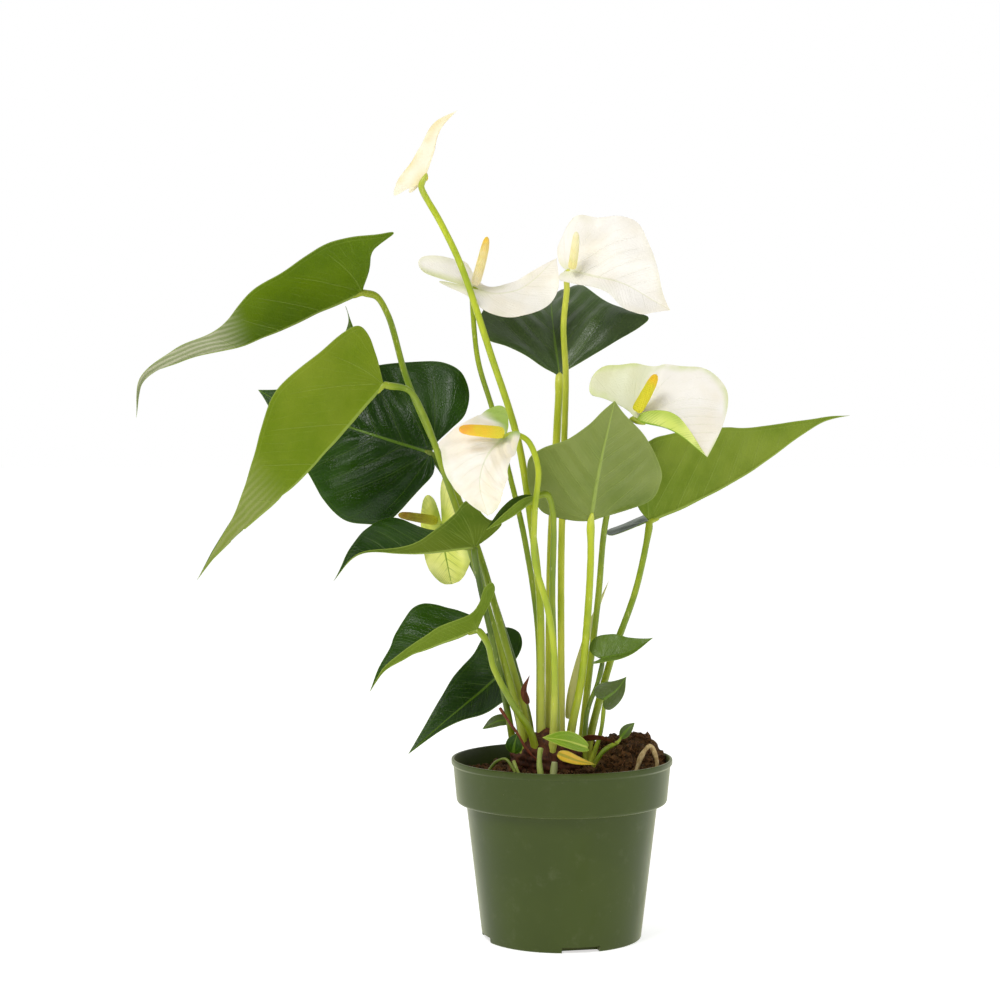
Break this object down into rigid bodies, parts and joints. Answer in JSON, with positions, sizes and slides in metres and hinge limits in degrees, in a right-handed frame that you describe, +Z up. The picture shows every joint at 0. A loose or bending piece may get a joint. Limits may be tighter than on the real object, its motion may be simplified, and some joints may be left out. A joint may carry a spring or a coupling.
{
  "type": "potted anthurium",
  "caption": "Flowering anthurium with heart-shaped leaves, white spathes and yellow spadices, in a round tapered nursery pot with a deep rim band",
  "frame": {"origin": "centre of the pot's flat underside", "axes": "+Z up along the pot's axis, -Y towards the plant's front, +X to the right when the plant is seen from its front"},
  "size_m": [0.4863, 0.2045, 0.5601],
  "materials": {
    "pot": "matte",
    "soil": "matte",
    "crown": "matte",
    "leaf": "satin",
    "young_leaf": "satin",
    "stalk": "satin",
    "spathe": "satin",
    "spadix": "matte",
    "root": "matte",
    "bract": "matte"
  },
  "bodies": {
    "root": {"pot": "pot", "soil": "soil", "crown": "crown", "leaf_upper_left": "leaf", "leaf_left": "leaf", "leaf_left_back": "leaf", "leaf_upper_back": "leaf", "leaf_middle": "leaf", "leaf_right": "leaf", "leaf_mid_left": "leaf", "leaf_narrow": "leaf", "leaf_lower_left": "leaf", "leaf_bottom_left": "leaf", "leaf_small_right": "leaf", "leaf_small_grey": "leaf", "leaf_sprout_right": "young_leaf", "leaf_sprout_left": "young_leaf", "leaf_sprout_dark": "young_leaf", "leaf_sprout_bright": "young_leaf", "leaf_fading": "young_leaf", "spathe_top": "spathe", "spathe_upper_left": "spathe", "spathe_big": "spathe", "spathe_hanging": "spathe", "spathe_green": "spathe", "spathe_right": "spathe", "cataphyll": "bract", "bract_left": "bract", "bract_right": "bract", "petiole_upper_left": "stalk", "petiole_left": "stalk", "petiole_left_back": "stalk", "petiole_upper_back": "stalk", "petiole_middle": "stalk", "petiole_right": "stalk", "petiole_mid_left": "stalk", "petiole_narrow": "stalk", "petiole_lower_left": "stalk", "petiole_bottom_left": "stalk", "petiole_small_right": "stalk", "petiole_small_grey": "stalk", "petiole_sprout_right": "stalk", "peduncle_top": "stalk", "peduncle_upper_left": "stalk", "peduncle_big": "stalk", "peduncle_hanging": "stalk", "peduncle_green": "stalk", "peduncle_right": "stalk", "root_arch": "root", "root_red": "root", "runner_left": "root", "runner_front": "root", "shoot_left": "root", "shoot_right": "root", "spadix_top": "spadix", "spadix_upper_left": "spadix", "spadix_big": "spadix", "spadix_hanging": "spadix", "spadix_green": "spadix", "spadix_right": "spadix"}
  },
  "joints": []
}
